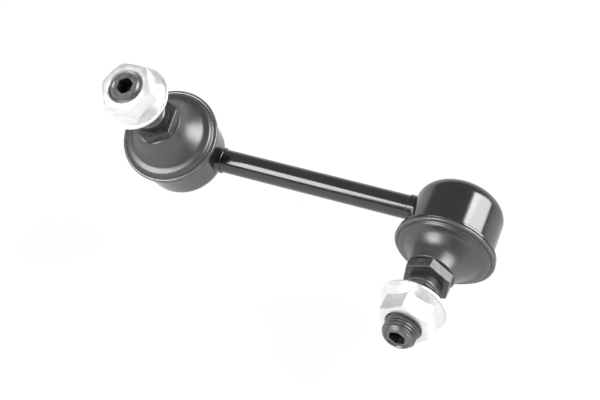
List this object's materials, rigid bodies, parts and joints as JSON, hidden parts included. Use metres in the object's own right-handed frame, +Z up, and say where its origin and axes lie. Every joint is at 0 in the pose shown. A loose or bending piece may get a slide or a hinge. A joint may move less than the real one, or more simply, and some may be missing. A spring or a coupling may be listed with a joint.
{
  "type": "anti-roll bar link",
  "caption": "Short straight link rod with a cup-shaped ball joint at each end, turned to different sides, each with a rubber boot, threaded stud, washer and flange nut.",
  "frame": {"origin": "centre of the left ball, where the left stud swings", "axes": "+X along the rod from the left to the right ball joint, +Z up; the left housing opens 35 degrees off +Z towards -Y, the right one 105 degrees"},
  "size_m": [0.1469, 0.072, 0.0726],
  "materials": {
    "black_paint": "gloss",
    "boot_rubber": "satin",
    "seat_plastic": "matt",
    "spring_steel": "satin",
    "stud_steel": "phosphated",
    "zinc_plate": "bright zinc"
  },
  "bodies": {
    "link": {"rod": "black_paint", "left_housing": "black_paint", "left_weld_bead": "black_paint", "left_ball_seat": "seat_plastic", "left_closing_ring": "black_paint", "left_boot_base_ring": "black_paint", "right_housing": "black_paint", "right_weld_bead": "black_paint", "right_ball_seat": "seat_plastic", "right_closing_ring": "black_paint", "right_boot_base_ring": "black_paint"},
    "left_boot_base": {"left_dust_boot": "boot_rubber"},
    "left_boot_neck": {"left_boot_neck_ring": "spring_steel"},
    "left_stud": {"left_ball_stud": "stud_steel"},
    "left_washer_slider": {"left_washer": "zinc_plate"},
    "left_nut_turner": {"left_nut": "zinc_plate"},
    "right_boot_base": {"right_dust_boot": "boot_rubber"},
    "right_boot_neck": {"right_boot_neck_ring": "spring_steel"},
    "right_stud": {"right_ball_stud": "stud_steel"},
    "right_washer_slider": {"right_washer": "zinc_plate"},
    "right_nut_turner": {"right_nut": "zinc_plate"}
  },
  "joints": [
    {"name": "left_swing", "type": "hinge", "parent": "link", "child": "left_boot_base", "pos_m": [0, 0, 0], "axis": [0, -0.5736, 0.8192], "continuous": true},
    {"name": "left_tilt", "type": "hinge", "parent": "left_boot_base", "child": "left_boot_neck", "pos_m": [0, 0, 0], "axis": [-0.3955, -0.7523, -0.5268], "range_deg": [-27.75, 20.25], "deforming": ["left_dust_boot"]},
    {"name": "left_stud_spin", "type": "hinge", "parent": "left_boot_neck", "child": "left_stud", "pos_m": [0, 0, 0], "axis": [-0.0601, -0.5512, 0.8322], "continuous": true},
    {"name": "left_washer_travel", "type": "slide", "parent": "left_stud", "child": "left_washer_slider", "axis": [-0.0601, -0.5512, 0.8322], "range_m": [-0.01063, 0.01125]},
    {"name": "left_nut_turn", "type": "hinge", "parent": "left_washer_slider", "child": "left_nut_turner", "pos_m": [0, 0, 0], "axis": [-0.0601, -0.5512, 0.8322], "range_deg": [-3064, 3244]},
    {"name": "right_swing", "type": "hinge", "parent": "link", "child": "right_boot_base", "pos_m": [0.11, -0.00196, -0.00539], "axis": [0, -0.9659, -0.2588], "continuous": true},
    {"name": "right_tilt", "type": "hinge", "parent": "right_boot_base", "child": "right_boot_neck", "pos_m": [0.11, -0.00196, -0.00539], "axis": [-0.7891, 0.159, -0.5934], "range_deg": [-30.13, 17.87], "deforming": ["right_dust_boot"]},
    {"name": "right_stud_spin", "type": "hinge", "parent": "right_boot_neck", "child": "right_stud", "pos_m": [0.11, -0.00196, -0.00539], "axis": [-0.0656, -0.9822, -0.1759], "continuous": true},
    {"name": "right_washer_travel", "type": "slide", "parent": "right_stud", "child": "right_washer_slider", "axis": [-0.0656, -0.9822, -0.1759], "range_m": [-0.0055, 0.01625]},
    {"name": "right_nut_turn", "type": "hinge", "parent": "right_washer_slider", "child": "right_nut_turner", "pos_m": [0.11, -0.00196, -0.00539], "axis": [-0.0656, -0.9822, -0.1759], "range_deg": [-1588, 4684]}
  ],
  "couplings": [
    {"joint": "left_nut_turn", "follows": "left_washer_travel", "rad_per_m": 5026.5},
    {"joint": "right_nut_turn", "follows": "right_washer_travel", "rad_per_m": 5026.5}
  ]
}
